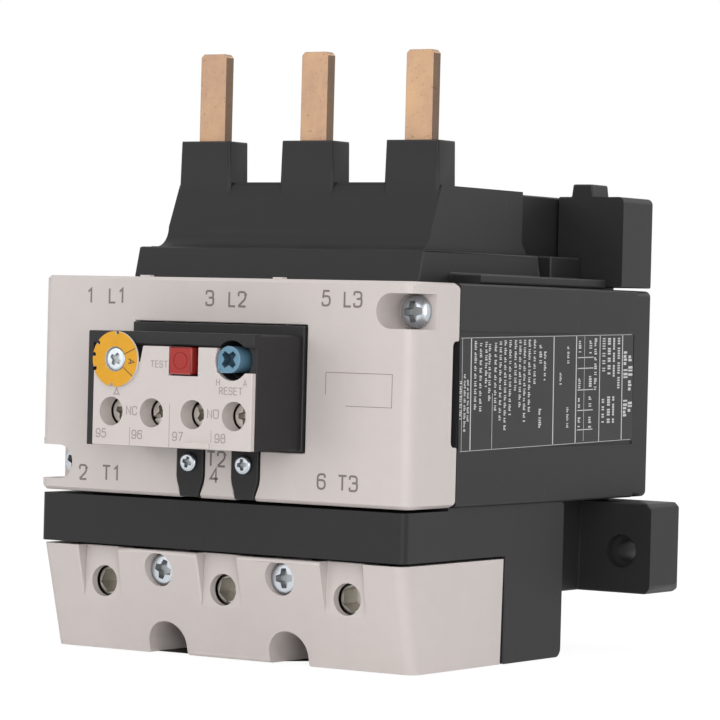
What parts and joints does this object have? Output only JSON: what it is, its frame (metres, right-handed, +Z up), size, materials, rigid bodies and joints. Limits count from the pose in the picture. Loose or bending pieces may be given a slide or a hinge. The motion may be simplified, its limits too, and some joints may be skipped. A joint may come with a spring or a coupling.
{
  "type": "thermal overload relay",
  "caption": "Motor overload relay block with upright copper line bars, box terminals below and an auxiliary module with setting dial, test button and reset knob.",
  "frame": {"origin": "middle of the two fixing holes on the mounting plane", "axes": "+Y into the panel, away from the operator; +Z up, along the copper bars; +X to the operator's right"},
  "size_m": [0.113, 0.121, 0.1303],
  "materials": {
    "grey_plastic": "fine-grained moulded",
    "black_plastic": "fine-grained moulded",
    "label_film": "satin film",
    "zinc_steel": "zinc plated",
    "clamp_steel": "zinc plated",
    "copper": "rolled copper",
    "bimetal_steel": "rolled",
    "heater_alloy": "rolled",
    "yellow_plastic": "smooth",
    "natural_plastic": "smooth",
    "red_plastic": "smooth",
    "blue_plastic": "smooth",
    "spring_steel": "drawn wire"
  },
  "bodies": {
    "relay": {"front_cover": "grey_plastic", "cover_screws": "zinc_steel", "main_housing": "black_plastic", "side_label": "label_film", "mounting_base": "black_plastic", "top_shroud": "black_plastic", "lower_terminal_housing": "black_plastic", "lower_terminal_cover": "grey_plastic", "terminal_cover_screws": "zinc_steel", "aux_module_body": "black_plastic", "tongue_screws": "zinc_steel", "aux_face_plate": "grey_plastic", "aux_terminal_plates": "copper", "mechanism_plate": "black_plastic", "test_spring": "spring_steel", "reset_spring": "spring_steel", "line_bar_1": "copper", "bimetal_1": "bimetal_steel", "heater_1": "heater_alloy", "load_bar_1": "copper", "clamp_cage_1": "clamp_steel", "line_bar_2": "copper", "bimetal_2": "bimetal_steel", "heater_2": "heater_alloy", "load_bar_2": "copper", "clamp_cage_2": "clamp_steel", "line_bar_3": "copper", "bimetal_3": "bimetal_steel", "heater_3": "heater_alloy", "load_bar_3": "copper", "clamp_cage_3": "clamp_steel"},
    "pad_1": {"clamp_pad_1": "clamp_steel"},
    "screw_1": {"clamp_screw_1": "clamp_steel"},
    "pad_2": {"clamp_pad_2": "clamp_steel"},
    "screw_2": {"clamp_screw_2": "clamp_steel"},
    "pad_3": {"clamp_pad_3": "clamp_steel"},
    "screw_3": {"clamp_screw_3": "clamp_steel"},
    "aux_washer_1": {"aux_clamp_1": "zinc_steel"},
    "aux_bolt_1": {"aux_screw_1": "zinc_steel"},
    "aux_washer_2": {"aux_clamp_2": "zinc_steel"},
    "aux_bolt_2": {"aux_screw_2": "zinc_steel"},
    "aux_washer_3": {"aux_clamp_3": "zinc_steel"},
    "aux_bolt_3": {"aux_screw_3": "zinc_steel"},
    "aux_washer_4": {"aux_clamp_4": "zinc_steel"},
    "aux_bolt_4": {"aux_screw_4": "zinc_steel"},
    "dial": {"setting_dial": "yellow_plastic", "dial_screw": "zinc_steel", "dial_cam": "natural_plastic"},
    "test": {"test_button": "red_plastic"},
    "plunger": {"reset_stem": "natural_plastic"},
    "reset": {"reset_knob": "blue_plastic"},
    "comb": {"trip_slider": "natural_plastic"},
    "loss_comb": {"phase_loss_slider": "natural_plastic"},
    "compensator": {"compensation_lever": "bimetal_steel"},
    "rocker": {"trip_lever": "natural_plastic"},
    "carrier": {"contact_carrier": "natural_plastic", "moving_contacts": "copper"}
  },
  "joints": [
    {"name": "clamp_feed_1", "type": "slide", "parent": "relay", "child": "pad_1", "axis": [0, 1, 0], "range_m": [0, 0.00599]},
    {"name": "clamp_turn_1", "type": "hinge", "parent": "pad_1", "child": "screw_1", "pos_m": [-0.0313, -0.0947, -0.0075], "axis": [0, 1, 0], "range_deg": [0, 1728]},
    {"name": "clamp_feed_2", "type": "slide", "parent": "relay", "child": "pad_2", "axis": [0, 1, 0], "range_m": [0, 0.00599]},
    {"name": "clamp_turn_2", "type": "hinge", "parent": "pad_2", "child": "screw_2", "pos_m": [0, -0.0947, -0.0075], "axis": [0, 1, 0], "range_deg": [0, 1728]},
    {"name": "clamp_feed_3", "type": "slide", "parent": "relay", "child": "pad_3", "axis": [0, 1, 0], "range_m": [0, 0.00599]},
    {"name": "clamp_turn_3", "type": "hinge", "parent": "pad_3", "child": "screw_3", "pos_m": [0.0313, -0.0947, -0.0075], "axis": [0, 1, 0], "range_deg": [0, 1728]},
    {"name": "aux_feed_1", "type": "slide", "parent": "relay", "child": "aux_washer_1", "axis": [0, 1, 0], "range_m": [0, 0.00299]},
    {"name": "aux_turn_1", "type": "hinge", "parent": "aux_washer_1", "child": "aux_bolt_1", "pos_m": [-0.0147, -0.1134, 0.0298], "axis": [0, 1, 0], "range_deg": [0, 1800]},
    {"name": "aux_feed_2", "type": "slide", "parent": "relay", "child": "aux_washer_2", "axis": [0, 1, 0], "range_m": [0, 0.00299]},
    {"name": "aux_turn_2", "type": "hinge", "parent": "aux_washer_2", "child": "aux_bolt_2", "pos_m": [-0.0043, -0.1134, 0.0298], "axis": [0, 1, 0], "range_deg": [0, 1800]},
    {"name": "aux_feed_3", "type": "slide", "parent": "relay", "child": "aux_washer_3", "axis": [0, 1, 0], "range_m": [0, 0.00299]},
    {"name": "aux_turn_3", "type": "hinge", "parent": "aux_washer_3", "child": "aux_bolt_3", "pos_m": [0.0061, -0.1134, 0.0298], "axis": [0, 1, 0], "range_deg": [0, 1800]},
    {"name": "aux_feed_4", "type": "slide", "parent": "relay", "child": "aux_washer_4", "axis": [0, 1, 0], "range_m": [0, 0.00299]},
    {"name": "aux_turn_4", "type": "hinge", "parent": "aux_washer_4", "child": "aux_bolt_4", "pos_m": [0.0165, -0.1134, 0.0298], "axis": [0, 1, 0], "range_deg": [0, 1800]},
    {"name": "dial_turn", "type": "hinge", "parent": "relay", "child": "dial", "pos_m": [-0.0135, -0.1187, 0.04065], "axis": [0, 1, 0], "range_deg": [-125, 125]},
    {"name": "test_press", "type": "slide", "parent": "relay", "child": "test", "axis": [0, 1, 0], "range_m": [0, 0.0022], "stiffness_N_per_m": 900, "springref_m": -0.001, "deforming": ["test_spring"]},
    {"name": "reset_press", "type": "slide", "parent": "relay", "child": "plunger", "axis": [0, 1, 0], "range_m": [0, 0.0025], "stiffness_N_per_m": 900, "springref_m": -0.001, "deforming": ["reset_spring"]},
    {"name": "reset_turn", "type": "hinge", "parent": "plunger", "child": "reset", "pos_m": [0.015, -0.121, 0.0413], "axis": [0, 1, 0], "range_deg": [-90, 0]},
    {"name": "trip_slide", "type": "slide", "parent": "relay", "child": "comb", "axis": [-1, 0, 0], "range_m": [0, 0.0024]},
    {"name": "phase_loss_slide", "type": "slide", "parent": "relay", "child": "loss_comb", "axis": [-1, 0, 0], "range_m": [0, 0.0024]},
    {"name": "compensator_swing", "type": "hinge", "parent": "relay", "child": "compensator", "pos_m": [-0.0045, -0.09, 0.0407], "axis": [0, 1, 0], "range_deg": [0, 10]},
    {"name": "rocker_swing", "type": "hinge", "parent": "relay", "child": "rocker", "pos_m": [-0.009, -0.0928, 0.0335], "axis": [0, 1, 0], "range_deg": [0, 19.4]},
    {"name": "contact_slide", "type": "slide", "parent": "relay", "child": "carrier", "axis": [1, 0, 0], "range_m": [0, 0.0015]}
  ],
  "couplings": [
    {"joint": "clamp_turn_1", "follows": "clamp_feed_1", "rad_per_m": 5026.5},
    {"joint": "clamp_turn_2", "follows": "clamp_feed_2", "rad_per_m": 5026.5},
    {"joint": "clamp_turn_3", "follows": "clamp_feed_3", "rad_per_m": 5026.5},
    {"joint": "aux_turn_1", "follows": "aux_feed_1", "rad_per_m": 10472},
    {"joint": "aux_turn_2", "follows": "aux_feed_2", "rad_per_m": 10472},
    {"joint": "aux_turn_3", "follows": "aux_feed_3", "rad_per_m": 10472},
    {"joint": "aux_turn_4", "follows": "aux_feed_4", "rad_per_m": 10472},
    {"joint": "compensator_swing", "follows": "trip_slide", "rad_per_m": 72.464},
    {"joint": "rocker_swing", "follows": "trip_slide", "rad_per_m": 140.85},
    {"joint": "contact_slide", "follows": "trip_slide", "ratio": 0.625}
  ]
}
